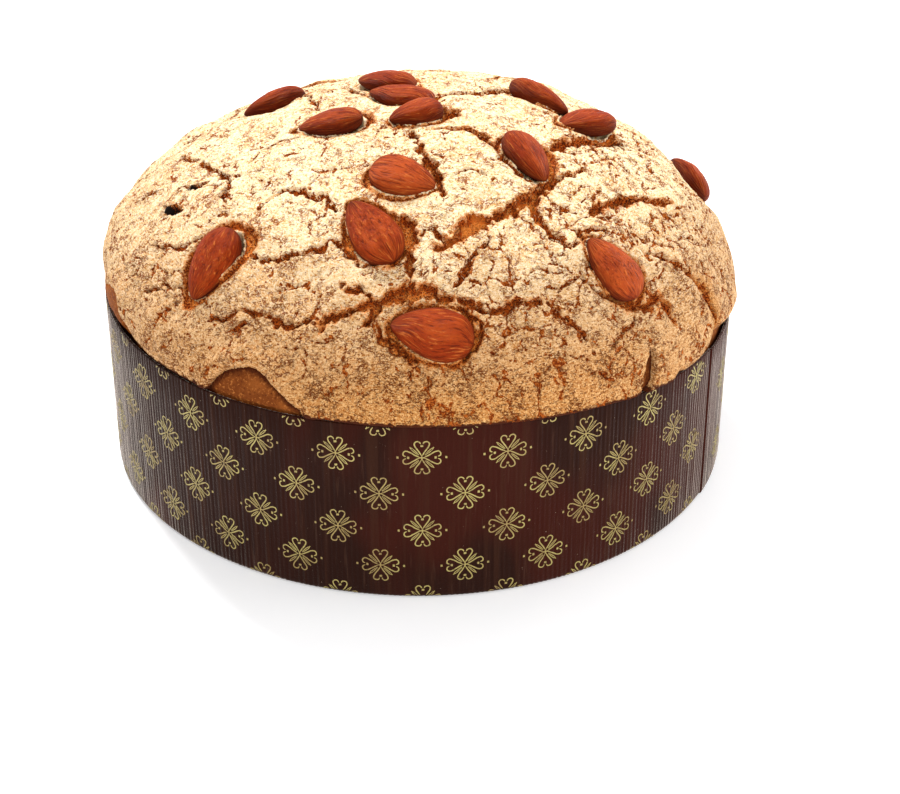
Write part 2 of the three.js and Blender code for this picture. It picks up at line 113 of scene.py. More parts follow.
# Cracks: the width, then the route
CRACKS = [
    (1.3, (-81, 4), (-73, -12), (-66, -25), (-65, -41)), (1.6, (-58, -21), (-55, -13), (-44, -13)),
    (1.8, (-56, -46), (-50, -42), (-40, -45), (-30, -57)),
    (1.8, (-58, -64), (-50, -70), (-35, -71), (-31, -68), (-22, -77), (-11, -79)),
    (2.4, (-31, 22), (-23, 11)), (1.4, (-45, 25), (-38, 4)), (3.0, (-3, -21), (11, -21), (20, -28)),
    (4.0, (-1, -7), (7, -12)), (2.4, (19, -27), (22, -36), (32, -44)),
    (4.6, (34, -44), (30, -52), (18, -61), (10, -67), (2, -74)),
    (3.4, (32, -28), (43, -18), (54, -10), (64, 0)), (2.6, (32, -46), (42, -38), (48, -30)),
    (2.2, (35, -48), (31, -56), (37, -63), (44, -67)), (2.8, (-6, -30), (-2, -39), (2, -54)),
    (2.0, (-8, -21), (-6, -29), (-8, -37)), (3.8, (-10, -61), (-7, -69), (-8, -80)),
    (1.6, (8, -88), (12, -81), (17, -70)), (2.2, (-1, 2), (10, 8), (26, 18)),
    (2.0, (37, 26), (45, 19), (55, 18)), (3.0, (50, -52), (57, -43), (70, -34), (81, -28)),
    (1.4, (50, -17), (59, -22), (68, -24)), (2.2, (71, -56), (80, -56), (88, -55)),
    (2.2, (45, -65), (48, -60), (56, -56)), (2.0, (90, 12), (97, 6), (101, -4)),
    (1.6, (-72, -81), (-53, -87), (-45, -93), (-34, -97)), (3.2, (-35, -97), (-28, -94), (-20, -94)),
    (2.4, (-28, -85), (-18, -89)), (4.6, (-19, -93), (-11, -90), (-2, -90), (8, -92)),
    (2.3, (8, -92), (22, -94), (29, -90), (37, -87)), (1.7, (37, -87), (48, -93), (58, -98)),
    (2.6, (-9, -71), (-7, -79), (-6, -89)), (3.0, (9, -94), (17, -100), (14, -108)),
    (2.6, (-16, -97), (-11, -106), (-2, -111)), (1.8, (49, -76), (57, -81)),
    (3.2, (57, -80), (70, -77), (80, -71), (87, -74)), (1.4, (68, -80), (70, -84), (63, -94)),
    (2.8, (88, -55), (94, -52.5), (101, -52), (107, -54), (111, -58)),
    (1.2, (110, -26), (112, -32), (116, -35), (117, -42)), (1.4, (56, -104), (71, -101)),
    (1.3, (-97, -73), (-89, -69), (-80, -72)), (1.4, (-89, -41), (-81, -49), (-72, -50)),
    (3.4, (-54, 40), (-42, 46), (-28, 42), (-14, 48)), (2.2, (-14, 48), (-4, 60), (4, 76)),
    (1.8, (-72, 24), (-68, 42), (-74, 56)), (3.8, (16, 32), (26, 42), (30, 58), (24, 72)),
    (1.8, (30, 58), (44, 66), (56, 64)), (2.2, (58, 34), (70, 44), (74, 60), (66, 74)),
    (1.6, (-54, 40), (-56, 58), (-48, 76)), (3.0, (-48, 76), (-36, 84), (-26, 86)),
    (1.8, (4, 84), (14, 94), (12, 106)), (1.4, (-42, 98), (-32, 106), (-36, 114)),
    (2.6, (-94, 20), (-102, 34), (-98, 48)), (1.6, (88, 40), (96, 30), (102, 36)),
    (1.0, (-96, -11), (-87, -11)), (1.0, (-66, -24), (-56, -29)), (1.2, (37, -50), (46, -52)),
    (1.0, (3, -46), (7, -44), (12, -42), (18, -47)), (1.4, (-3, -69), (1, -68), (4, -72)),
    (1.0, (59, -7), (68, -3), (71, -12), (77, -20)), (1.0, (82, -43), (87, -40), (97, -35)),
    (1.4, (37, -62), (38, -66), (44, -67)), (1.2, (-67, -89), (-58, -88)),
    (1.0, (-100, -57), (-94, -57), (-87, -62)), (1.2, (-88, -59), (-84, -63), (-80, -64)),
    (0.9, (-41, -99), (-37, -101), (-29, -102)), (0.9, (-46, -100), (-38, -105), (-40, -110)),
    (4.0, (-17, -90), (-16, -94), (-18, -98)), (1.0, (10, -85), (18, -85)), (0.9, (31, -79), (42, -76)),
    (1.4, (38, -87), (38, -83), (42, -82)), (1.3, (42, -85), (45, -78), (48, -75), (50, -77)),
    (1.1, (47, -102), (56, -101)), (0.9, (-5, -113), (-3, -118)), (0.9, (5, -114), (2, -119)),
    (0.9, (19, -105), (25, -107), (27, -105)), (1.6, (-81, -18.5), (-77, -22)),
    (1.4, (-87, -22.5), (-83.5, -26)),
]

# The crease where the front lobe laps over the bulge behind it
LOBE_CREASE = [(72, -56), (80, -56), (86, -55), (94, -56.5), (102, -56.8), (107, -59), (109, -62.5)]

# Two small charred pits
CHARRED = [
    (1.8, (-77.5, -22.5), (-73, -22.6)),
    (2.4, (-83, -27.5), (-80.5, -31)),
]

# Almonds: centre, heading of the tip and roll, length and width, rise of the tip, width of the moat
ALMONDS = [
    ((-10, -46), -26, 8, 22, 14, -4, 1.6),
    ((-19, -67), 118, 0, 26, 14.5, 4, 1.7),
    ((-69, -63), -131, -12, 25, 13.5, -3, 3.4),
    ((2, -102), 169, 0, 25, 15, 3, 1.9),
    ((59, -69), 147, 4, 23, 14.5, 2, 1.6),
    ((29, -32), -60, -14, 23, 12.5, -3, 2.0),
    ((49, 0), 215, 18, 22, 14.5, -6, 1.8),
    ((34, 12), -39, -22, 24, 11, -2, 1.8),
    ((-34, -10), 164, 14, 22, 13, -5, 1.8),
    ((-54, 28), 192, 24, 22, 12, 0, 1.2),
    ((-17, 21), 157, 6, 21, 12, 5, 1.2),
    ((-12, 7), 153, 10, 24, 13, 4, 1.4),
    ((-7, -11), 199, 12, 18, 11.5, -2, 1.4),
    ((99, 19), 118, 10, 22, 13, 0, 1.6),
    ((-36, 92), 30, 6, 24, 14, 3, 1.8),
    ((2, 88), -70, -8, 23, 13.5, 0, 1.6),
    ((74, 76), 110, 10, 25, 14, -3, 1.7),
    ((-66, 82), 40, 0, 24, 13.5, 2, 2.4),
    ((-16, 114), 15, -6, 25, 14.5, 0, 1.6),
    ((44, 92), 150, 12, 23, 13, 2, 1.8),
]
ALMOND_HEIGHT = 8.4
ALMOND_TAPER = 0.3
ALMOND_LIFT = 0.2
GRAIN_PITCH = 0.06
ALMOND_RINGS = 40
ALMOND_SIDES = 96
WRINKLED = (1, 2, 4, 9)
BRIGHT_SKINS = (0, 4)
SPLIT_ALMOND = 6

# The print: four heart-shaped petals, repeated in staggered rows
MOTIF_TURN = math.radians(7.05)
MOTIF_START = math.radians(1.2)
MOTIF_RISE = 13.0
MOTIF_FOOT = -1.0
MOTIF_COLUMNS = range(-43, 9)
MOTIF_ROWS = 6
MOTIF_REACH = 0.06
SEAM_AZIMUTH = math.radians(63.5)

# The paper's flutes and where the print stops above and below
FLUTES = 412
FLUTE_DEPTH = 0.06
PRINT_FLOOR = 0.6
PRINT_MARGIN = 0.35

# The stage, in metres and watts; each light has its place, its size and its power
LIGHT_AIM = (0, 0, 0.06)
LIGHTS = {
    "key": ((-0.7, 1.4, 1.8), 0.6, 73),
    "fill": ((0.3, -1.1, 0.75), 0.8, 7),
    "side": ((1.3, 0.0, 0.35), 0.8, 5),
    "rim": ((0.95, 0.95, 0.25), 0.7, 6),
}
WORLD_STRENGTH = 0.72
FLOOR_GLOW = 0.22
FLOOR_HALF = 6.0
CAMERA_PLACE = (0.0105, -0.6061, 0.3645)
CAMERA_TILT = math.radians(59.7)
CAMERA_LENS = 80
SENSOR_WIDTH = 36


# Numbers and noise

def smoothstep(x, low, high):
    """0 up to low, 1 from high on and smooth between them; low may be the larger."""
    t = np.clip((x - low) / (high - low), 0, 1)
    return t * t * (3 - 2 * t)


def noise(u, v, cell, seed):
    """Smooth noise between -1 and 1 that changes every cell mm."""
    size = 128
    lattice = np.random.default_rng(seed).uniform(-1, 1, (size, size))
    x, y = u / cell, v / cell
    i, j = np.floor(x).astype(int), np.floor(y).astype(int)
    fx, fy = smoothstep(x - i, 0, 1), smoothstep(y - j, 0, 1)

    def corner(a, b):
        return lattice[(i + a) % size, (j + b) % size]

    before = corner(0, 0) * (1 - fx) + corner(1, 0) * fx
    after = corner(0, 1) * (1 - fx) + corner(1, 1) * fx
    return before * (1 - fy) + after * fy


def fractal(u, v, cell, seed):
    """Three layers of noise, each half the size and half the height of the one before."""
    return sum(noise(u + 17 * k, v - 31 * k, cell / 2**k, seed + k) / 2**k for k in range(3)) / 1.75


def polar(distance, azimuth, *height):
    """Points round the middle, with azimuth 0 at the front."""
    return np.stack([distance * np.sin(azimuth), -distance * np.cos(azimuth), *height], -1)


def grid(first, second):
    """Every pair of the two rows of numbers, as two flat arrays."""
    return [a.ravel() for a in np.meshgrid(first, second, indexing="ij")]


def turn_from(azimuth, centre):
    """The shorter way round from centre, between minus and plus half a turn."""
    return (azimuth - centre + math.pi) % math.tau - math.pi


def smooth_route(points, step=1.5, closed=False):
    """A curve through the points, as short straight runs."""
    points = np.array(points, float)
    if closed:
        padded = np.vstack([points[-1:], points, points[:2]])
    else:
        padded = np.vstack([2 * points[:1] - points[1:2], points, 2 * points[-1:] - points[-2:-1]])
    run = []
    for a, b, c, d in zip(padded, padded[1:], padded[2:], padded[3:]):
        count = max(2, int(np.hypot(*(c - b)) / step))
        t = np.linspace(0, 1, count, endpoint=False)[:, None]
        cubic = 2 * b + (c - a) * t + (2 * a - 5 * b + 4 * c - d) * t**2 + (3 * b - 3 * c + d - a) * t**3
        run.append(cubic / 2)
    run.append(points[:1] if closed else points[-1:])
    return np.vstack(run)


def route_gap(spots, route, half):
    """Distance from each spot to the edge of a crack, negative inside. half is its half width."""
    gap = np.full(len(spots), 1e3)
    for a, b, wide_a, wide_b in zip(route, route[1:], half, half[1:]):
        run = b - a
        t = np.clip((spots - a) @ run / max(run @ run, 1e-9), 0, 1)
        away = np.hypot(*(spots - a - t[:, None] * run).T)
        gap = np.minimum(gap, away - wide_a - t * (wide_b - wide_a))
    return gap


def inside(spots, outline):
    """True for each spot that lies inside a closed outline."""
    odd = np.zeros(len(spots), bool)
    x, y = spots.T
    for (ax, ay), (bx, by) in zip(outline, np.roll(outline, -1, 0)):
        crosses = (ay > y) != (by > y)
        if ay != by:
            odd ^= crosses & (x < ax + (y - ay) * (bx - ax) / (by - ay))
    return odd


def near(spots, route, reach):
    """The spots within reach of a route's box."""
    low, high = route.min(0) - reach, route.max(0) + reach
    return np.flatnonzero(np.all((spots > low) & (spots < high), axis=1))


# The dome's skin

ARC_ANGLE = np.linspace(0, math.pi / 2, 2001)
ARC_HEIGHT = DOME_RISE * np.cos(ARC_ANGLE).clip(0) ** DOME_FULLNESS
ARC_LENGTH = np.concatenate([
    [0], np.cumsum(np.hypot(np.diff(DOME_RADIUS * np.sin(ARC_ANGLE)), np.diff(ARC_HEIGHT)))])
SKIN_LENGTH = ARC_LENGTH[-1]


def rim_dip(azimuth):
    """How much lower the rim is than at its highest."""
    drop, centre, reach = RIM_DIP
    turn = np.abs(turn_from(azimuth, centre)) / reach
    return drop * (1 + np.cos(math.pi * turn.clip(0, 1))) / 2


def skin(u, v):
    """The smooth dome, which goes straight down past its base."""
    distance = np.hypot(u, v)
    azimuth = np.arctan2(u, -v)
    angle = np.interp(distance, ARC_LENGTH, ARC_ANGLE)
    rise = np.cos(angle).clip(0) ** DOME_FULLNESS
    shoulder = SHOULDER * np.sin(angle) ** 3 * rise
    lean = LEAN_SIDE[0] * np.cos(azimuth - LEAN_SIDE[1])
    full = FULL_DIAGONAL[0] * np.cos(2 * (azimuth - FULL_DIAGONAL[1]))
    forward = np.cos(azimuth) + (np.cos(2 * azimuth) - 1) / 2
    radius = DOME_RADIUS * np.sin(angle) * (1 + (lean + full) * shoulder)
    radius = radius + FRONT_OVERHANG * forward * np.sin(angle) ** 8
    x = DOME_SHIFT + DOME_LEAN * rise + radius * np.sin(azimuth)
    z = DOME_BASE + DOME_RISE * rise - (distance - SKIN_LENGTH).clip(0)
    z = z - rim_dip(azimuth) * (1 - rise) ** RIM_DIP_FADE
    return np.stack([x, -radius * np.cos(azimuth), z], -1)


def shrunk(azimuth):
    """The gap between the cake and the mould."""
    centre, spread, gap = SHRUNK
    return gap * np.exp(-(turn_from(azimuth, centre) / spread) ** 2)


def unit(vectors):
    return vectors / np.linalg.norm(vectors, axis=-1, keepdims=True)


def skin_normal(u, v):
    step = 0.5
    across = skin(u + step, v) - skin(u - step, v)
    along = skin(u, v + step) - skin(u, v - step)
    return unit(np.cross(across, along))


def lumps(u, v):
    wide = np.sin(0.11 * u - 0.07 * v + 0.8) * np.sin(0.09 * v + 0.05 * u + 1.9)
    fine = np.sin(0.23 * u + 1.3) * np.sin(0.21 * v + 0.4)
    return LUMP_HEIGHT * (wide + fine)


# Relief of the glaze: every function returns or changes arrays with one value for each spot

def random_cracks():
    """Short ragged hairlines, most of them running round the dome."""
    random = np.random.default_rng(12)
    cracks = []
    while len(cracks) < RANDOM_CRACKS:
        distance = SKIN_LENGTH * math.sqrt(random.uniform(0.02, 0.97))
        azimuth = random.uniform(-math.pi, math.pi)
        u, v = distance * math.sin(azimuth), -distance * math.cos(azimuth)
        crowd = 0.35 + 0.65 * float(smoothstep(noise(np.array([u]), np.array([v]), 30, 5)[0], -0.3, 0.6))
        if random.uniform() > crowd * (0.35 + 0.65 * (distance / SKIN_LENGTH) ** 2):
            continue
        heading = azimuth + random.normal(0, 0.55 if distance > 50 else 1.5)
        points = [np.array([u, v])]
        for _ in range(random.integers(1, 5)):
            heading += random.normal(0, 0.6)
            step = random.uniform(1.0, 2.6)
            points.append(points[-1] + step * np.array([math.cos(heading), math.sin(heading)]))
        cracks.append((random.uniform(0.3, 0.75), *points))
    return cracks


def carve(field, spots, warped, width, points, depth, seed):
    """Takes one crack out of the glaze."""
    route = smooth_route(points)
    reach = width / 2 + 6
    here = near(spots, route, reach)
    if not len(here):
        return
    length = np.concatenate([[0], np.cumsum(np.hypot(*np.diff(route, axis=0).T))])
    from_end = np.minimum(length, length[-1] - length)
    ragged = 1 + 0.5 * noise(length, length * 0, 3.4, seed) + 0.2 * noise(length, length * 0, 1.2, seed + 1)
    taper = 0.3 + 0.7 * np.minimum(1, from_end / min(7, length[-1] / 2 + 0.1))
    half = width / 2 * ragged * taper
    gap = route_gap(warped[here], route, half)
    u, v = spots[here].T
    gap = gap + min(0.9, 0.35 * width) * noise(u, v, 1.7, 210)
    gap = gap + min(0.5, 0.2 * width) * noise(u, v, 0.9, 211)
    ramp = min(0.75, 0.25 + 0.2 * width)
    sink = depth * smoothstep(-gap, -0.15, ramp)
    field["gap"][here] = np.minimum(field["gap"][here], gap)
    field["sink"][here] = np.maximum(field["sink"][here], sink)
    crumbly = (1 - gap / (0.4 + 0.4 * width)).clip(0, 1) * min(1, width / 3)
    field["halo"][here] = np.maximum(field["halo"][here], crumbly)


def wave(angle, seed):
    """A smooth closed wave round an almond, about -1 to 1."""
    phase = np.random.default_rng(seed).uniform(0, math.tau, 6)
    return sum(np.sin(k * angle + phase[k]) / k**0.5 for k in range(1, 6)) / 2.2


def almond_frame(at, heading, roll, pitch):
    """An almond's centre and its axes: ahead to the tip, to the side and up."""
    u, v = np.array([at[0]], float), np.array([at[1]], float)
    normal = skin_normal(u, v)[0]
    right = unit(skin(u + 1, v)[0] - skin(u, v)[0])
    back = np.cross(normal, right)
    turn = math.radians(heading)
    ahead = math.cos(turn) * right + math.sin(turn) * back
    side = np.cross(normal, ahead)
    tilt, nod = math.radians(roll), math.radians(-pitch)
    side, up = (math.cos(tilt) * side + math.sin(tilt) * normal,
                math.cos(tilt) * normal - math.sin(tilt) * side)
    ahead, up = (math.cos(nod) * ahead - math.sin(nod) * up,
                 math.cos(nod) * up + math.sin(nod) * ahead)
    inland = smoothstep(SKIN_LENGTH - np.hypot(u, v), 2, 20)
    centre = skin(u, v)[0] + normal * (lumps(u, v) * inland + ALMOND_LIFT)[0]
    return centre, ahead, side, up


def seat_almond(field, spots, index, at, heading, length, width, moat):
    """A hollow under the almond, a pale collar against it and a crumbly moat round that."""
    here = near(spots, np.array([at], float), length / 2 + 10)
    turn = math.radians(heading)
    du, dv = (spots[here] - np.array(at, float)).T
    ahead = du * math.cos(turn) + dv * math.sin(turn)
    side = dv * math.cos(turn) - du * math.sin(turn)
    x = ahead / (length / 2)
    y = side / (width / 2 * (1 - ALMOND_TAPER * x.clip(-1, 1)))
    share = np.hypot(x, y).clip(1e-3)
    away = (share - 1) * np.hypot(ahead, side) / share
    angle = np.arctan2(y, x)
    collar = 0.75 + 0.5 * wave(angle, 40 + index) - 1.6 * (wave(angle, 70 + index) > 0.15)
    reach = moat + 1.1 * wave(angle, 100 + index) + 0.5 * noise(du, dv, 1.6, index)
    reach = reach + 0.4 * noise(du, dv, 0.8, 30 + index)
    gap = np.maximum(away - reach, collar + 0.3 * noise(du, dv, 1.1, 60 + index) - away)
    sink = 1.7 * smoothstep(-gap, -0.2, 0.8)
    under = 4.2 * smoothstep(-away, 0.2, 2.4)
    field["gap"][here] = np.where(away > -0.5, np.minimum(field["gap"][here], gap), 2)
    sink = np.maximum(field["sink"][here] * (away > -1), sink * (away > -0.5))
    field["sink"][here] = np.maximum(sink, under)
    field["raise"][here] += 0.45 * np.exp(-((away - 0.5) / 0.8) ** 2) * (collar > 0)
    field["raise"][here] -= 0.5 * np.exp(-(away.clip(0) / 4) ** 2)
    field["halo"][here] = np.maximum(field["halo"][here], (1 - gap / 2.2).clip(0, 1) * (away > 0.3))


def patch_distance(spots, outline):
    """Distance to a bare patch's outline, negative inside it."""
    edge = smooth_route(outline, 2.0, closed=True)
    reach = 12
    away = np.full(len(spots), 50.0)
    here = near(spots, edge, reach)
    distance = route_gap(spots[here], edge, np.zeros(len(edge)))
    away[here] = np.where(inside(spots[here], edge), -distance, distance)
    return away


def warp(spots, seed, strength=1.0):
    """Moves the spots about a little, which makes straight cuts ragged."""
    u, v = spots.T
    shifts = []
    for k in range(2):
        shift = 1.2 * noise(u, v, 5.5, seed + k) + 0.75 * noise(u, v, 2.4, seed + 2 + k)
        shifts.append(shift + 0.4 * noise(u, v, 1.1, seed + 4 + k))
    return spots + strength * np.stack(shifts, -1)


def crackle(spots, cell, seed):
    """Distance to the borders of random cells: a net of fine cracks."""
    random = np.random.default_rng(seed)
    size = 64
    seeds = random.uniform(0.1, 0.9, (size, size, 2))
    square = np.floor(spots / cell).astype(int)
    nearest = np.full((2, len(spots)), 1e3)
    for a in (-1, 0, 1):
        for b in (-1, 0, 1):
            cellmates = square + (a, b)
            point = (cellmates + seeds[cellmates[:, 0] % size, cellmates[:, 1] % size]) * cell
            away = np.hypot(*(spots - point).T)
            nearest[1] = np.minimum(nearest[1], np.maximum(nearest[0], away))
            nearest[0] = np.minimum(nearest[0], away)
    return (nearest[1] - nearest[0]) / 2


def cut_cracks(field, spots, warped):
    """Cuts the main cracks, the random ones, the charred pits and two nets of crackle."""
    u, v = spots.T
    for i, (width, *points) in enumerate(CRACKS):
        depth = min(CRACK_DEPTH, 0.9 + 0.95 * width)
        carve(field, spots, warped, width, points, depth, 300 + i)
    for i, (width, *points) in enumerate(random_cracks()):
        carve(field, spots, warped, width, points, 0.2 + 0.5 * width, 500 + i)
    for width, *points in CHARRED:
        route = smooth_route(points)
        pit = route_gap(warped, route, np.full(len(route), width / 2))
        field["char"] = np.minimum(field["char"], pit)
        carve(field, spots, warped, width + 0.8, points, CRACK_DEPTH, 400)
    for cell, seed, width in ((12.0, 21, 0.3), (6.5, 22, 0.22)):
        net = crackle(warp(spots, 230 + seed, 1.3), cell, seed)
        right = smoothstep(u - 0.5 * v, 35, 75)
        shown = smoothstep(noise(u, v, 9.0, seed + 50) + 0.5 * right, 0.25, 0.7)
        gap = net - width * shown + 0.9 * (1 - shown)
        field["gap"] = np.minimum(field["gap"], gap)
        field["sink"] = np.maximum(field["sink"], 0.45 * smoothstep(-gap, -0.2, 0.2))


def roughen(field, spots, warped):
    """Crumbs on the floor of the cracks, smooth crust in places, curled edges and a rough face."""
    u, v = spots.T
    smooth = np.zeros(len(spots))
    for at_u, at_v, radius in SMOOTH_CRUST:
        away = np.hypot(warped[:, 0] - at_u, warped[:, 1] - at_v)
        smooth = np.maximum(smooth, smoothstep(away, 1.35 * radius, 0.75 * radius))
    smooth *= smoothstep(field["sink"], 0.5, 1.2)
    crumbs = 0.95 * noise(u, v, 1.7, 240) + 0.5 * noise(u, v, 0.9, 241)
    field["sink"] += (1 - smooth) * crumbs * smoothstep(field["sink"], 0.6, 2.0) - 0.7 * smooth
    field["smooth"] = smooth
    curl = 0.3 * np.exp(-((field["gap"] - 0.8) / 0.8) ** 2) * (field["gap"] > 0)
    skirt = smoothstep(np.hypot(u, v), 80, 112)
    pits = smoothstep(noise(u, v, 1.5, 242) + 0.5 * noise(u, v, 0.8, 243), 0.62 - 0.12 * skirt, 1.0)
    rough = 0.26 * fractal(u, v, 4.5, 244) + 0.13 * noise(u, v, 1.15, 246)
    return rough + curl - pits * (0.15 + 0.2 * skirt) + field["raise"]


def lap_lobe(field, spots):
    """Raises the front lobe over the bulge behind it, with a crease between the two."""
    u, v = spots.T
    crease = smooth_route(LOBE_CREASE)
    fold = route_gap(spots, crease, np.zeros(len(crease)))
    crease_u, crease_v = np.array(LOBE_CREASE).T
    in_front = np.interp(u, crease_u, crease_v) > v
    begun = smoothstep(u, 84, 100)
    lobe = 1.5 * np.exp(-(fold / 10) ** 2) - 0.9 * np.exp(-(fold / 1.3) ** 2)
    valley = np.where(in_front, 0, np.exp(-(fold / 9) ** 2)) * begun
    # The valley also darkens the glaze's colour: painted shade behind the crease
    field["valley"] = valley
    return np.where(in_front, lobe * begun, -1.5 * valley)


def bare_patches(field, spots, height):
    """Rounds a lip beside each bare patch and drops the glaze below the bread inside it."""
    shore = np.full(len(spots), 50.0)
    for name, (_, lip, outline) in BARE_PATCHES.items():
        jitter = 0.25 if name != "fold" else 0.1
        away = patch_distance(warp(spots, 260, jitter), outline)
        rounding = lip * (1 - np.sqrt(1 - (1 - away.clip(0, lip) / lip) ** 2))
        swell = (1.0 if name == "notch" else 0.5) * np.exp(-((away - 3) / 3) ** 2) * (away > 0)
        height += np.where(away < 30, swell - rounding.clip(0, lip), 0) * (away < 8)
        height = np.where(away < 0, -(GLAZE_THICKNESS - 0.6), height)
        shore = np.minimum(shore, away)
    field["gap"] = np.where(shore < 1.2, np.maximum(field["gap"], 0.6), field["gap"])
    return height


def glaze_relief(spots):
    """The glaze's height above the smooth skin and what its colours depend on."""
    u, v = spots.T
    distance = np.hypot(u, v)
    azimuth = np.arctan2(u, -v)
    starts = {"gap": 6.0, "sink": 0.0, "raise": 0.0, "halo": 0.0, "char": 6.0}
    field = {key: np.full(len(spots), start) for key, start in starts.items()}
    warped = warp(spots, 200)
    cut_cracks(field, spots, warped)
    for i, (at, heading, _, length, width, _, moat) in enumerate(ALMONDS):
        seat_almond(field, spots, i, at, heading, length, width, moat)
    height = roughen(field, spots, warped) + lap_lobe(field, spots)

    inland = smoothstep(SKIN_LENGTH - distance, 2, 20)
    height = (height + lumps(u, v)) * (0.25 + 0.75 * inland) * np.where(distance < SKIN_LENGTH - 1, 1, 0.5)
    rim_wave = 0.8 * noise(azimuth * DOME_RADIUS, azimuth * 0, 17, 250)
    rim_wave = rim_wave * smoothstep(distance, 100, SKIN_LENGTH)
    height += 0.5 * rim_wave
    height -= np.minimum(field["sink"], GLAZE_THICKNESS - 1.2)
    height = bare_patches(field, spots, height)
    field["height"] = height.clip(-(GLAZE_THICKNESS - 0.5), None)
    field["rim_wave"] = rim_wave
    return field


def glaze_points(spots, field):
    """The glaze's outer face, its edge rolled under at the rim."""
    u, v = spots.T
    distance = np.hypot(u, v)
    roll = ((distance - (SKIN_LENGTH - LIP_RADIUS)) / LIP_RADIUS).clip(0, 1) * math.pi / 2
    points = skin(u, v)
    normal = skin_normal(u, v)
    points = points + normal * field["height"][:, None]
    azimuth = np.arctan2(u, -v)
    tucked = LIP_RADIUS * (1 - np.cos(roll)) + shrunk(azimuth) * smoothstep(SKIN_LENGTH - distance, 7, 0)
    outward = unit(np.stack([u, v, 0 * u], -1) + [1e-9, 0, 0])
    points = points - outward * tucked[:, None]
    points[:, 2] += field["rim_wave"] * 0.6
    lowest = DOME_BASE - RIM_TUCK - rim_dip(azimuth)
    points[:, 2] = np.maximum(points[:, 2], lowest)
    return points


# Meshes

def add_object(name, data):
    added = bpy.data.objects.new(name, data)
    bpy.context.scene.collection.objects.link(added)
    return added


def add_mesh(name, points, faces, material, replaces=(), values=None, normals=None, smooth=True):
    """A piece made of triangles, given in millimetres, which rides on the whole."""
    mesh = bpy.data.meshes.new(name)
    points = np.asarray(points, np.float64) * MM
    faces = np.asarray(faces, np.int32)
    mesh.vertices.add(len(points))
    mesh.vertices.foreach_set("co", points.astype(np.float32).ravel())
    mesh.loops.add(faces.size)
    mesh.loops.foreach_set("vertex_index", faces.ravel())
    mesh.polygons.add(len(faces))
    mesh.polygons.foreach_set("loop_start", np.arange(0, faces.size, 3, dtype=np.int32))
    mesh.polygons.foreach_set("use_smooth", np.full(len(faces), smooth))
    mesh.update(calc_edges=True)
    for key, value in (values or {}).items():
        vector = value.ndim == 2
        layer = mesh.attributes.new(key, "FLOAT_VECTOR" if vector else "FLOAT", "POINT")
        layer.data.foreach_set("vector" if vector else "value", value.astype(np.float32).ravel())
    if normals is not None:
        mesh.normals_split_custom_set_from_vertices(normals.astype(np.float32))
    mesh.materials.append(material)
    piece = add_object(name, mesh)
    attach(piece, "root")
    if replaces:
        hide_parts(*replaces)


def tube_faces(rings, sides):
    """The triangles of a stack of rings of points, with one more point before and one after them."""
    ring, side = grid(np.arange(rings - 1), np.arange(sides))
    a, b = 1 + ring * sides + side, 1 + ring * sides + (side + 1) % sides
    loop = np.arange(sides)
    after = (loop + 1) % sides
    last = 1 + (rings - 1) * sides
    return np.vstack([
        np.stack([0 * loop, 1 + loop, 1 + after], -1),
        np.stack([a, a + sides, b + sides], -1),
        np.stack([a, b + sides, b], -1),
        np.stack([0 * loop + last + sides, last + after, last + loop], -1),
    ])


def disc_index(ring, place):
    """Index of a point of a disc whose ring k has 6 k points."""
    ring, place = np.asarray(ring), np.asarray(place)
    return np.where(ring == 0, 0, 1 + 3 * ring * (ring - 1) + place % np.maximum(6 * ring, 1))


def disc_spots(rings):
    """Skin coordinates of the disc's points, ring by ring."""
    spots = [np.zeros((1, 2))]
    for ring in range(1, rings + 1):
        azimuth = math.tau * np.arange(6 * ring) / (6 * ring) + math.pi
        spots.append(polar(SKIN_LENGTH * ring / rings, azimuth))
    return np.vstack(spots)


def disc_sector(rings, sector):
    """The triangles of one sixth of the disc, facing up."""
    faces = []
    for ring in range(rings):
        j = np.arange(ring + 1)
        here = disc_index(ring, sector * ring + j)
        out = disc_index(ring + 1, sector * (ring + 1) + j)
        out_next = disc_index(ring + 1, sector * (ring + 1) + j + 1)
        faces.append(np.stack([here, out, out_next], -1))
        here_next = disc_index(ring, sector * ring + j[:-1] + 1)
        faces.append(np.stack([here[:-1], out_next[:-1], here_next], -1))
    return np.vstack(faces)


def vertex_normals(points, faces):
    corner = points[faces]
    face_normal = np.cross(corner[:, 1] - corner[:, 0], corner[:, 2] - corner[:, 0])
    total = np.zeros_like(points)
    for k in range(3):
        for axis in range(3):
            total[:, axis] += np.bincount(faces[:, k], face_normal[:, axis], len(points))
    return unit(total)


def stitch(fine, coarse, step):
    """A wall between two lines of points, the fine one with step edges to each coarse edge."""
    faces = []
    for k in range(len(coarse) - 1):
        low, high = coarse[k], coarse[k + 1]
        run = fine[k * step:(k + 1) * step + 1]
        middle = step // 2
        for i in range(step):
            anchor = low if i < middle else high
            faces.append((run[i], anchor, run[i + 1]))
        faces.append((run[middle], low, high))
    return faces


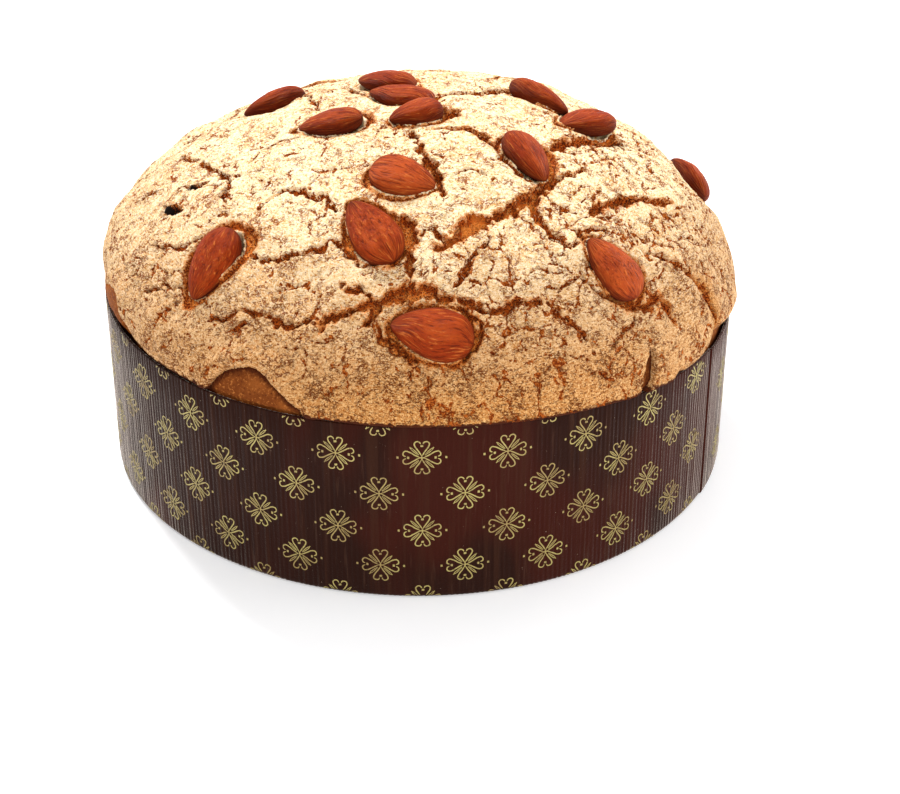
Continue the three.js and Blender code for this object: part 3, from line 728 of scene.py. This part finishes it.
def make_glaze(material):
    """Three closed pieces, cut like a cake, with the fine relief on their outer face."""
    spots = disc_spots(GLAZE_RINGS)
    field = glaze_relief(spots)
    outer = glaze_points(spots, field)
    inner_rings = GLAZE_RINGS // INNER_STEP
    inner_spots = disc_spots(inner_rings)
    u, v = inner_spots.T
    inner = skin(u, v) - skin_normal(u, v) * GLAZE_THICKNESS
    inner[:, 2] = np.maximum(inner[:, 2], DOME_BASE - rim_dip(np.arctan2(u, -v)))
    sectors = [disc_sector(GLAZE_RINGS, k) for k in range(6)]
    normals = vertex_normals(outer, np.vstack(sectors))
    distance = np.hypot(*spots.T)
    azimuth = np.arctan2(spots[:, 0], -spots[:, 1])
    start, share, front, centre = BROWNING_AND_FRONT_SHADE
    # Browning of the skirt all round, with a front extra that is partly painted shade
    browning_and_shade = smoothstep(distance, start, SKIN_LENGTH) * (share + front * np.cos(azimuth - centre))
    values = {key: field[key] for key in ("gap", "halo", "char", "sink", "smooth")}
    # The valley behind the lobe's crease is painted darker: painted shade
    values["browning_and_shade"] = (browning_and_shade + 0.6 * field["valley"]).clip(0, 1)
    values["rim"] = SKIN_LENGTH - distance
    points = np.vstack([outer, inner])
    all_normals = np.vstack([normals, -skin_normal(u, v)])
    start = len(outer)
    for piece in range(3):
        faces = [sectors[2 * piece], sectors[2 * piece + 1]]
        for sector in (2 * piece, 2 * piece + 1):
            faces.append(disc_sector(inner_rings, sector)[:, ::-1] + start)
        for sector, flip in ((2 * piece, False), (2 * piece + 2, True)):
            fine_rings = np.arange(GLAZE_RINGS + 1)
            coarse_rings = np.arange(inner_rings + 1)
            fine = disc_index(fine_rings, sector * fine_rings)
            coarse = disc_index(coarse_rings, sector * coarse_rings) + start
            wall = np.array(stitch(fine, coarse, INNER_STEP))
            faces.append(wall[:, ::-1] if flip else wall)
        places = np.arange(2 * GLAZE_RINGS + 1) + 2 * piece * GLAZE_RINGS
        coarse_places = np.arange(2 * inner_rings + 1) + 2 * piece * inner_rings
        fine = disc_index(GLAZE_RINGS, places)
        coarse = disc_index(inner_rings, coarse_places) + start
        faces.append(np.array(stitch(fine, coarse, INNER_STEP)))
        faces = np.vstack(faces)
        used, faces = np.unique(faces, return_inverse=True)
        outside = used[used < start]
        pad = len(used) - len(outside)
        piece_values = {key: np.concatenate([value[outside], np.full(pad, value.max())])
                        for key, value in values.items()}
        add_mesh(f"glaze_{piece + 1}", points[used], faces.reshape(-1, 3), material, ["glaze"],
                 piece_values, all_normals[used])


def make_bread(material):
    """The bread inside the mould, which comes to the surface at the bare patches."""
    sides = BREAD_SIDES
    limit = MOULD_RADIUS - PAPER - BREAD_ROOM
    distances = np.concatenate([np.linspace(6, 84, 12), np.linspace(85.5, SKIN_LENGTH, 42)])
    azimuths = math.tau * np.arange(sides) / sides
    distance, azimuth = grid(distances, azimuths)
    spots = polar(distance, azimuth)
    u, v = spots.T
    depth = np.full(len(spots), GLAZE_THICKNESS - 0.4)
    # Distance to the glaze's edge, used to paint shade on the bread under the glaze's lip
    edge = np.full(len(spots), 20.0)
    for name, (patch_depth, _, outline) in BARE_PATCHES.items():
        away = patch_distance(spots, outline)
        bared = smoothstep(-away, -4.0, -1.0)
        depth = depth + (patch_depth - depth) * bared
        if name != "left":
            edge = np.minimum(edge, np.abs(away))
    depth -= 0.25 * fractal(u, v, 6.0, 270)
    points = skin(u, v) - skin_normal(u, v) * depth[:, None]
    above = points[:, 2] - DOME_BASE + rim_dip(azimuth)
    bound = limit - shrunk(azimuth) * smoothstep(above, 9, 0) + 1.1 * above.clip(0)
    radius = np.hypot(points[:, 0], points[:, 1])
    points[:, :2] *= np.minimum(1, bound / radius)[:, None]
    rim = points[-sides:]
    lowest = PAPER + BREAD_ROOM
    levels = [3, 12, 30, DOME_BASE - lowest]
    walls = []
    for level in levels:
        ring = rim.copy()
        ring[:, 2] = np.maximum(DOME_BASE - level - rim_dip(azimuths), lowest)
        walls.append(ring)
    top = np.array([[DOME_SHIFT + DOME_LEAN, 0, DOME_BASE + DOME_RISE - GLAZE_THICKNESS + 0.4]])
    foot = np.array([[0, 0, lowest]])
    points = np.vstack([top, points, *walls, foot])
    edge = np.concatenate([[20], edge, np.zeros(len(levels) * sides + 1)])
    faces = tube_faces(len(distances) + len(levels), sides)
    add_mesh("bread", points, faces, material, ["cake"], {"edge": edge})


def wall_radius(azimuth, height):
    """The mould's outer face: fluted paper, a little out of round, with an overlapped seam."""
    across, ahead = MOULD_RADIUS * np.sin(azimuth), MOULD_RADIUS * np.cos(azimuth)
    foot_dent = 0.25 * np.sin(3 * azimuth + 0.5) + 0.1 * noise(across, ahead, 24, 280)
    rim_dent = 0.15 * np.sin(2 * azimuth + 1.9) + 0.25 * noise(across, ahead, 21, 281)
    share = height / MOULD_HEIGHT
    past = (azimuth - SEAM_AZIMUTH) % math.tau
    seam = 0.5 * smoothstep(past, 0, 0.0035) * (1 - smoothstep(past, 0.02, 0.3))
    foot = 0.5 * (1 - smoothstep(height, 0, 1.5))
    return MOULD_RADIUS - 0.1 + FLUTE_DEPTH * np.cos(FLUTES * azimuth) \
        + foot_dent * (1 - share) + rim_dent * share + seam - foot


def make_mould(material):
    """The paper cup: fluted outside and in, with a rim, a foot and a flat floor."""
    sides = FLUTES * 6
    azimuths = SEAM_AZIMUTH + math.tau * np.arange(sides) / sides

    def ring(radius, height):
        return polar(radius, azimuths, np.broadcast_to(height, azimuths.shape))

    rings = [ring(MOULD_RADIUS * 0.6, 0.0), ring(wall_radius(azimuths, 0) - 0.6, 0.0)]
    rim_height = MOULD_HEIGHT - rim_dip(azimuths)
    shoulder_height = rim_height - 0.35
    for height in (0.5, 1.0, 1.5, 12, 24, 36, 48, shoulder_height):
        rings.append(ring(wall_radius(azimuths, height), height))
    rim = wall_radius(azimuths, rim_height)
    rings.append(ring(rim - 0.2, rim_height))
    rings.append(ring(rim - 0.65, rim_height))
    for height in (shoulder_height, 45.0, PAPER):
        rings.append(ring(wall_radius(azimuths, height) - 0.9, height))
    rings.append(ring(MOULD_RADIUS * 0.6, PAPER))
    points = np.vstack([[[0, 0, 0]], *rings, [[0, 0, PAPER]]])
    faces = tube_faces(len(rings), sides)[:, ::-1]
    add_mesh("mould_paper", points, faces, material, ["mould"])


# The print

def petal_strokes():
    """One motif as strokes: points in mm from its centre, and a width."""
    half = smooth_route([(0.7, 0.1), (2.2, 0.95), (3.7, 1.95), (4.9, 2.25), (5.55, 1.6), (5.45, 0.75),
                         (4.75, 0.35)], 0.75)
    whisker = smooth_route([(1.0, 0.85), (2.4, 2.05), (3.2, 2.9), (3.5, 3.7)], 0.9)
    strokes = []
    for quarter in range(4):
        turn = quarter * math.pi / 2
        spin = np.array([[math.cos(turn), math.sin(turn)], [-math.sin(turn), math.cos(turn)]])
        mirror = np.array([1, -1])
        strokes.append((half @ spin, 0.4))
        strokes.append((half * mirror @ spin, 0.4))
        strokes.append((whisker @ spin, 0.24))
        strokes.append((whisker[:, ::-1] @ spin, 0.24))
        strokes.append((np.array([(3.75, 0.0), (4.4, 0.0)]) @ spin, 0.8))
    for side in (-7.2, 7.2):
        strokes.append((np.array([(side - 0.3, 0.0), (side + 0.3, 0.0)]), 0.75))
    strokes.append((np.array([(-0.8, 0.0), (0.8, 0.0)]), 0.4))
    strokes.append((np.array([(0.0, -0.8), (0.0, 0.8)]), 0.4))
    return strokes


def ribbon(line, width, azimuth, level):
    """One stroke on the paper: two edges just above it and a middle line sunk in it."""
    run = unit(np.gradient(line, axis=0))
    side = np.stack([-run[:, 1], run[:, 0]], -1) * width / 2
    if len(line) > 3:
        side[[0, -1]] *= 0.45
    rows = []
    for edge, lift in ((line + side, 0.07), (line - side, 0.07), (line, -0.15)):
        turn = azimuth + edge[:, 0] / MOULD_RADIUS
        height = edge[:, 1] + level
        rows.append(polar(wall_radius(turn, height) + lift, turn, height))
    return np.vstack(rows)


def ribbon_faces(start, count):
    """The triangles of a closed ribbon of three lines, whose points begin at start."""
    left = start + np.arange(count - 1)
    right, root = left + count, left + 2 * count
    faces = []
    for p, q in ((left, right), (right, root), (root, left)):
        faces.append(np.stack([p, q, q + 1], -1))
        faces.append(np.stack([p, q + 1, p + 1], -1))
    end = start + count - 1
    faces.append([[start, start + 2 * count, start + count], [end, end + count, end + 2 * count]])
    return np.vstack(faces)


def make_print(material):
    """The motif in staggered rows, as thin closed ribbons of gold on the paper."""
    points, faces = [], []
    total = 0
    strokes = petal_strokes()
    first, last = SEAM_AZIMUTH - math.tau + MOTIF_REACH, SEAM_AZIMUTH - MOTIF_REACH
    for column, row in itertools.product(MOTIF_COLUMNS, range(MOTIF_ROWS)):
        azimuth = MOTIF_START + column * MOTIF_TURN
        if (column + row) % 2 or not first <= azimuth <= last:
            continue
        level = MOTIF_FOOT + MOTIF_RISE * row
        for line, width in strokes:
            ceiling = MOULD_HEIGHT - PRINT_MARGIN - rim_dip(azimuth + line[:, 0] / MOULD_RADIUS)
            kept = (line[:, 1] + level > PRINT_FLOOR) & (line[:, 1] + level < ceiling)
            if kept.sum() < 2:
                continue
            points.append(ribbon(line[kept], width, azimuth, level))
            faces.append(ribbon_faces(total, kept.sum()))
            total += len(points[-1])
    add_mesh("mould_print", np.vstack(points), np.vstack(faces)[:, ::-1], material, (), smooth=False)


# Almonds

def make_almond(index, at, heading, roll, length, width, pitch, material):
    """A whole almond in its skin: rounded at one end, pointed at the other, with fine ridges."""
    random = np.random.default_rng(600 + index)
    centre, ahead, side, up = almond_frame(at, heading, roll, pitch)
    phi = math.pi * np.arange(1, ALMOND_RINGS) / ALMOND_RINGS
    phi, theta = grid(phi, math.tau * np.arange(ALMOND_SIDES) / ALMOND_SIDES)
    x = np.cos(phi)
    tip = smoothstep(x, 0.3, 1.0)
    girth = np.sin(phi) ** (1 + random.uniform(0.05, 0.2) * tip) * (1 - ALMOND_TAPER * x)
    bend = 0.03 * random.normal() * width * x**2
    lean = 0.5 + 0.5 * smoothstep(girth, 0, 0.5)
    wobble = 1 + 0.025 * np.sin(2 * theta + random.uniform(0, 6))
    wobble = wobble + 0.03 * noise(x * 3, theta * 2, 1.0, 610 + index)
    round_off = (np.abs(np.cos(theta)) ** 2.3 + np.abs(np.sin(theta)) ** 2.3) ** (-1 / 2.3)
    across = width / 2 * girth * np.cos(theta) * round_off * wobble
    tall = ALMOND_HEIGHT / 2 * girth * np.sin(theta) * round_off * wobble
    wander = 0.22 * noise(x * 1.6 + 5, theta * 0 + index, 1.0, 620 + index)
    turn = theta + wander
    ridge = sum(np.abs(np.sin(turn * k / 2 + random.uniform(0, 6) + 0.5 * noise(x * 3, theta, 1.0, 630 + k)))
                * weight for k, weight in ((11, 0.4), (17, 0.35), (27, 0.25)))
    middle = smoothstep(np.abs(x), 0.8, 0.3) * smoothstep(np.sin(theta), 0.1, 0.8)
    wrinkle = noise(x * 7 + 1.5 * noise(x * 3, theta * 2, 1.0, 650 + index), theta * 4, 1.0, 640 + index)
    curly = 1.0 if index in WRINKLED else 0.35
    relief = (1 - ridge) * lean * 0.35 + 0.3 * curly * middle * wrinkle
    scale = 1 + 0.085 * relief * (1 - x**6)
    if index == SPLIT_ALMOND:
        split = np.exp(-((np.sin(theta - 1.45 - 0.25 * np.sin(4 * x)) / 0.1) ** 2)) * (np.sin(theta) > 0)
        scale = scale - 0.09 * split * smoothstep(np.abs(x), 0.75, 0.5)
    local = np.stack([x * length / 2, across * scale + bend, tall * scale], -1)
    ends = np.array([[-length / 2, 0, 0], [length / 2, 0, 0]])
    local = np.vstack([ends[1:], local, ends[:1]])
    points = centre + local[:, :1] * ahead + local[:, 1:2] * side + local[:, 2:] * up
    faces = tube_faces(ALMOND_RINGS - 1, ALMOND_SIDES)
    grain = np.stack([np.cos(turn) * 6, np.sin(turn) * 6, x * length * GRAIN_PITCH + 3 * index], -1)
    tips = [[[0, 0, end * length * GRAIN_PITCH + 3 * index]] for end in (1, -1)]
    grain = np.vstack([tips[0], grain, tips[1]])
    curl = np.concatenate([[0], middle * curly, [0]])
    # How much of the skin faces down, for the painted shade on the underside
    under = np.concatenate([[0.5], smoothstep(np.sin(theta), 0.7, -0.3), [0.5]])
    bright = np.full(len(points), 1.0 if index in BRIGHT_SKINS else 0.0)
    add_mesh(f"almond_skin_{index + 1:02d}", points, faces, material, [f"almond_{index + 1:02d}"],
             {"grain": grain, "curl": curl, "under": under, "bright": bright})


# Materials

class Nodes:
    """A short way to write a material's node tree."""

    def __init__(self, name):
        self.material = bpy.data.materials.new(name)
        self.material.use_nodes = True
        self.tree = self.material.node_tree
        self.shader = self.tree.nodes["Principled BSDF"]
        place = self.node("ShaderNodeTexCoord").outputs["Object"]
        self.place = self.vector("MULTIPLY", place, (1 / MM,) * 3)

    def link(self, value, socket):
        if isinstance(value, bpy.types.NodeSocket):
            self.tree.links.new(value, socket)
        else:
            socket.default_value = value

    def node(self, kind, inputs=None, **settings):
        """A new node with its settings and, by name or number, what goes into it."""
        node = self.tree.nodes.new(kind)
        for key, value in settings.items():
            setattr(node, key, value)
        for key, value in (inputs or {}).items():
            self.link(value, node.inputs[key])
        return node

    def math(self, operation, *values):
        return self.node("ShaderNodeMath", dict(enumerate(values)), operation=operation).outputs[0]

    def plus(self, first, second):
        return self.math("ADD", first, second)

    def minus(self, first, second):
        return self.math("SUBTRACT", first, second)

    def times(self, first, second):
        return self.math("MULTIPLY", first, second)

    def vector(self, operation, *values):
        return self.node("ShaderNodeVectorMath", dict(enumerate(values)), operation=operation).outputs[0]

    def value(self, name):
        """A number that the mesh has at each point."""
        return self.node("ShaderNodeAttribute", attribute_name=name).outputs["Fac"]

    def noise(self, size, detail=2.0, rough=0.55, place=None, stretch=None):
        """Noise whose features are about size mm wide, between 0 and 1."""
        place = place or self.place
        if stretch:
            place = self.vector("MULTIPLY", place, stretch)
        inputs = {"Vector": place, "Scale": 1 / size, "Detail": detail, "Roughness": rough}
        return self.node("ShaderNodeTexNoise", inputs).outputs["Fac"]

    def warped(self, size, amount, place=None):
        """A place that is pushed about by noise of so many mm."""
        place = place or self.place
        push = self.node("ShaderNodeTexNoise", {"Vector": place, "Scale": 1 / size}).outputs["Color"]
        push = self.vector("SUBTRACT", push, (0.5, 0.5, 0.5))
        return self.vector("ADD", place, self.vector("MULTIPLY", push, (2 * amount,) * 3))

    def stir(self, value, pattern, amount):
        """The value, moved up and down by a pattern that is 0.5 on average."""
        return self.plus(value, self.times(self.minus(pattern, 0.5), amount))

    def ramp(self, value, low, high):
        """0 below low, 1 above high and smooth between them; the two may be swapped."""
        flipped = low > high
        inputs = {"Value": value, "From Min": min(low, high), "From Max": max(low, high),
                  "To Min": float(flipped), "To Max": float(not flipped)}
        return self.node("ShaderNodeMapRange", inputs, interpolation_type="SMOOTHSTEP").outputs["Result"]

    def mix(self, share, first, second):
        return self.node("ShaderNodeMix", {0: share, 6: first, 7: second}, data_type="RGBA").outputs[2]

    def paint(self, color, tint, value, low, high, most=1):
        """The colour, with the tint over it where the value goes from low to high."""
        share = self.ramp(value, low, high)
        if most < 1:
            share = self.times(share, most)
        return self.mix(share, color, tint)

    def bump(self, height, distance):
        inputs = {"Height": height, "Distance": distance * MM, "Strength": 1.0}
        return self.node("ShaderNodeBump", inputs).outputs["Normal"]

    def finish(self, color, roughness, normal, specular):
        for key, value in (("Base Color", color), ("Roughness", roughness), ("Normal", normal)):
            self.link(value, self.shader.inputs[key])
        self.shader.inputs["Specular IOR Level"].default_value = specular
        return self.material


def rgb(red, green, blue):
    """A colour given as it looks on screen, 0 to 255."""
    def linear(value):
        value = value / 255
        return value / 12.92 if value <= 0.04045 else ((value + 0.055) / 1.055) ** 2.4
    return linear(red), linear(green), linear(blue), 1.0


def glaze_material():
    n = Nodes("glaze")
    browning_and_shade, gap, smooth = n.value("browning_and_shade"), n.value("gap"), n.value("smooth")
    grain, fine, crumb = (n.noise(size, 2, 0.6) for size in (0.48, 0.32, 0.62))
    torn = n.noise(1.5, 3, 0.6)
    blotch = n.noise(13, 3, 0.5)
    flake = n.noise(1.15, 2, 0.6, place=n.warped(3.0, 0.8), stretch=(1, 1, 2.6))
    relief = n.plus(n.times(grain, 0.5), n.times(flake, 0.5))

    # The face: cream grains, tan between them and brown in the recesses, partly painted shade there; the
    # browning darkens it, with painted shade at the front and behind the lobe
    base = n.paint(rgb(240, 212, 161), rgb(230, 192, 136), blotch, 0.38, 0.62)
    base = n.mix(browning_and_shade, base, rgb(180, 118, 58))
    light = n.mix(browning_and_shade, rgb(250, 232, 203), rgb(212, 160, 98))
    brown_and_recess_shade = n.mix(browning_and_shade, rgb(212, 138, 56), rgb(136, 70, 18))
    color = n.paint(base, light, relief, 0.49, 0.59)
    color = n.paint(color, brown_and_recess_shade, relief, 0.45, 0.38)

    # Short hairlines that run round the dome, and small dark pits
    hair = 0.0
    for offset, size in ((0, 7.0), (40, 4.2)):
        place = n.vector("ADD", n.place, (offset, 0, 0))
        line = n.noise(size, 4, 0.68, place=place, stretch=(1, 1, 1.7))
        line = n.ramp(n.math("ABSOLUTE", n.minus(line, 0.5)), 0.02, 0.008)
        patchy = n.plus(n.noise(6.5, 2, 0.6, place=place), n.times(browning_and_shade, 0.03))
        hair = n.math("MAXIMUM", hair, n.times(line, n.ramp(patchy, 0.5, 0.58)))
    dash = n.noise(1.0, 3, 0.7, place=n.warped(2.4, 0.7), stretch=(1, 1, 2.0))
    dash = n.plus(n.stir(dash, blotch, 0.1), n.times(browning_and_shade, 0.03))
    dark = n.math("MAXIMUM", hair, n.ramp(dash, 0.62, 0.64))
    color = n.paint(color, n.mix(browning_and_shade, rgb(255, 252, 238), rgb(246, 206, 150)), fine, 0.6, 0.68, 0.7)
    color = n.mix(n.times(dark, 0.9), color, n.mix(browning_and_shade, rgb(150, 66, 12), rgb(92, 34, 4)))

    # Orange crumb beside the cracks and a dark line at the rim
    color = n.paint(color, rgb(206, 118, 44), n.stir(n.value("halo"), grain, 2.4), 0.66, 0.84, 0.85)
    color = n.paint(color, rgb(72, 30, 10), n.stir(n.value("rim"), torn, 3.0), 1.7, 1.2)

    # Inside the cracks: orange crumb, with painted shade on the walls near the edges and between the crumbs,
    # and painted highlights on the crumbs
    floor = n.paint(rgb(122, 44, 8), rgb(230, 128, 46), crumb, 0.42, 0.52)
    floor = n.paint(floor, rgb(252, 190, 112), fine, 0.56, 0.64)
    wall = n.paint(rgb(72, 22, 4), rgb(196, 92, 26), crumb, 0.44, 0.56)
    crack = n.paint(wall, floor, n.stir(gap, crumb, 3.0), -0.4, -1.3)
    crack = n.mix(n.times(smooth, 0.5), crack, rgb(218, 128, 50))
    shallow = n.paint(rgb(112, 44, 8), rgb(184, 96, 32), crumb, 0.42, 0.58)
    crack = n.paint(crack, shallow, n.value("sink"), 1.3, 0.5)
    color = n.paint(color, crack, n.stir(n.stir(gap, torn, 2.4), crumb, 1.2), 0.12, -0.04)
    color = n.paint(color, rgb(34, 24, 20), n.stir(n.value("char"), grain, 2.0), 0.5, 0.0)

    height = n.minus(n.plus(relief, n.times(fine, 0.2)), n.times(dark, 0.6))
    height = n.times(height, n.minus(1.0, n.times(smooth, 0.8)))
    return n.finish(color, n.plus(0.8, n.times(fine, 0.2)), n.bump(height, 0.45), 0.1)


def bread_material():
    n = Nodes("bread")
    grain = n.noise(0.9, 4, 0.65)
    crust = n.paint(rgb(146, 80, 33), rgb(116, 58, 22), n.noise(9, 3, 0.5), 0.35, 0.65)
    crust = n.paint(crust, rgb(176, 106, 50), grain, 0.54, 0.66)
    crust = n.paint(crust, rgb(88, 40, 14), grain, 0.42, 0.32)
    # Darker near the glaze's edge: painted shade under the lip
    color = n.paint(crust, rgb(66, 26, 9), n.stir(n.value("edge"), grain, 3.0), 3.2, 0.2)
    return n.finish(color, n.plus(0.55, n.times(grain, 0.25)), n.bump(grain, 0.8), 0.03)


def paper_material():
    n = Nodes("printed_paper")
    fibres = n.noise(1.0, 3, 0.6, stretch=(1, 1, 0.06))
    blotch = n.noise(34, 2, 0.5, stretch=(1, 1, 0.5))
    streak = n.noise(2.2, 2, 0.5, stretch=(1, 1, 0.03))
    color = n.paint(rgb(36, 12, 4), rgb(53, 15, 5), blotch, 0.46, 0.62)
    color = n.paint(color, rgb(58, 31, 18), streak, 0.5, 0.72, 0.5)
    color = n.paint(color, rgb(84, 58, 44), fibres, 0.58, 0.75, 0.3)
    color = n.paint(color, rgb(170, 150, 130), n.noise(0.5, 1, 0.5), 0.8, 0.83)
    creases = n.plus(n.times(streak, 4.0), n.plus(fibres, n.noise(0.5, 2)))
    n.shader.inputs["Sheen Weight"].default_value = 1.0
    n.shader.inputs["Sheen Roughness"].default_value = 0.25
    n.shader.inputs["Sheen Tint"].default_value = (1.0, 0.87, 0.76, 1)
    return n.finish(color, n.plus(0.42, n.times(streak, 0.2)), n.bump(creases, 0.14), 0.06)


def print_material():
    n = Nodes("gold_print")
    worn = n.noise(0.8, 3, 0.6)
    gold = n.paint(rgb(172, 156, 88), rgb(150, 126, 70), n.noise(12, 2, 0.5), 0.35, 0.65)
    color = n.paint(gold, rgb(96, 74, 44), worn, 0.52, 0.68, 0.7)
    n.shader.inputs["Metallic"].default_value = 0.15
    return n.finish(color, n.plus(0.38, n.times(worn, 0.2)), n.bump(worn, 0.08), 0.5)


def almond_material():
    n = Nodes("almond_skin")
    grain = n.node("ShaderNodeAttribute", attribute_name="grain").outputs["Vector"]
    straight = n.noise(0.62, 4, 0.6, place=grain)
    swirled = n.noise(0.7, 4, 0.62, place=n.warped(2.0, 1.3, n.vector("MULTIPLY", grain, (1, 1, 3.2))))
    curl = n.times(n.value("curl"), 0.8)
    streak = n.plus(n.times(straight, n.minus(1.0, curl)), n.times(swirled, curl))
    color = n.paint(rgb(158, 54, 12), rgb(178, 70, 20), n.noise(3.2, 3, 0.5, place=grain), 0.36, 0.64)
    color = n.mix(n.times(n.value("bright"), 0.6), color, rgb(198, 86, 34))
    color = n.paint(color, rgb(140, 42, 8), n.noise(6, 2, 0.5), 0.42, 0.66, 0.6)
    # The skin's own streaks, with painted shade in the grooves and painted highlight on the ridge tops
    color = n.paint(color, rgb(92, 26, 4), streak, 0.5, 0.36, 0.75)
    color = n.paint(color, rgb(222, 122, 54), streak, 0.54, 0.66, 0.7)
    # Painted shade on the underside
    color = n.mix(n.times(n.value("under"), 0.7), color, rgb(78, 24, 6))
    normal = n.bump(n.plus(streak, n.times(n.noise(0.35, 2, 0.5), 0.1)), 1.9)
    return n.finish(color, n.plus(0.45, n.times(streak, 0.25)), normal, 0.08)


# Stage

def area_light(name, place, size, power):
    """A soft white disc of light that faces the cake."""
    light = bpy.data.lights.new(name, "AREA")
    light.shape = "DISK"
    light.size = size
    light.energy = power
    lamp = add_object(name, light)
    lamp.location = place
    across, ahead, rise = np.array(LIGHT_AIM) - place
    tilt = math.atan2(math.hypot(across, ahead), -rise)
    lamp.rotation_euler = (tilt, 0, math.atan2(ahead, across) - math.pi / 2)


def make_floor():
    n = Nodes("floor")
    cloud = n.noise(180, 2, 0.5)
    color = n.mix(cloud, rgb(250, 250, 251), rgb(244, 244, 246))
    n.shader.inputs["Emission Color"].default_value = (1, 1, 1, 1)
    n.shader.inputs["Emission Strength"].default_value = FLOOR_GLOW
    n.finish(color, n.plus(0.28, n.times(cloud, 0.08)), n.bump(n.noise(3, 2), 0.01), 0.35)
    mesh = bpy.data.meshes.new("floor")
    corners = [(x * FLOOR_HALF, y * FLOOR_HALF, 0) for x, y in ((-1, -1), (1, -1), (1, 1), (-1, 1))]
    mesh.from_pydata(corners, [], [(0, 1, 2, 3)])
    mesh.materials.append(n.material)
    add_object("floor", mesh)


def make_world():
    world = bpy.data.worlds.new("studio")
    world.use_nodes = True
    background = world.node_tree.nodes["Background"].inputs
    background["Color"].default_value = (1, 1, 1, 1)
    background["Strength"].default_value = WORLD_STRENGTH
    bpy.context.scene.world = world


def make_camera():
    camera = bpy.data.cameras.new("camera")
    camera.lens = CAMERA_LENS
    camera.sensor_width = SENSOR_WIDTH
    eye = add_object("camera", camera)
    eye.location = CAMERA_PLACE
    eye.rotation_euler = (CAMERA_TILT, 0, 0)
    bpy.context.scene.camera = eye
    bpy.context.scene.view_settings.view_transform = "Standard"
    bpy.context.scene.view_settings.look = "None"


make_floor()
make_world()
for name, light in LIGHTS.items():
    area_light(name, *light)
make_camera()
make_glaze(glaze_material())
make_bread(bread_material())
make_mould(paper_material())
make_print(print_material())
skin_material = almond_material()
for number, (at, heading, roll, length, width, pitch, _) in enumerate(ALMONDS):
    make_almond(number, at, heading, roll, length, width, pitch, skin_material)
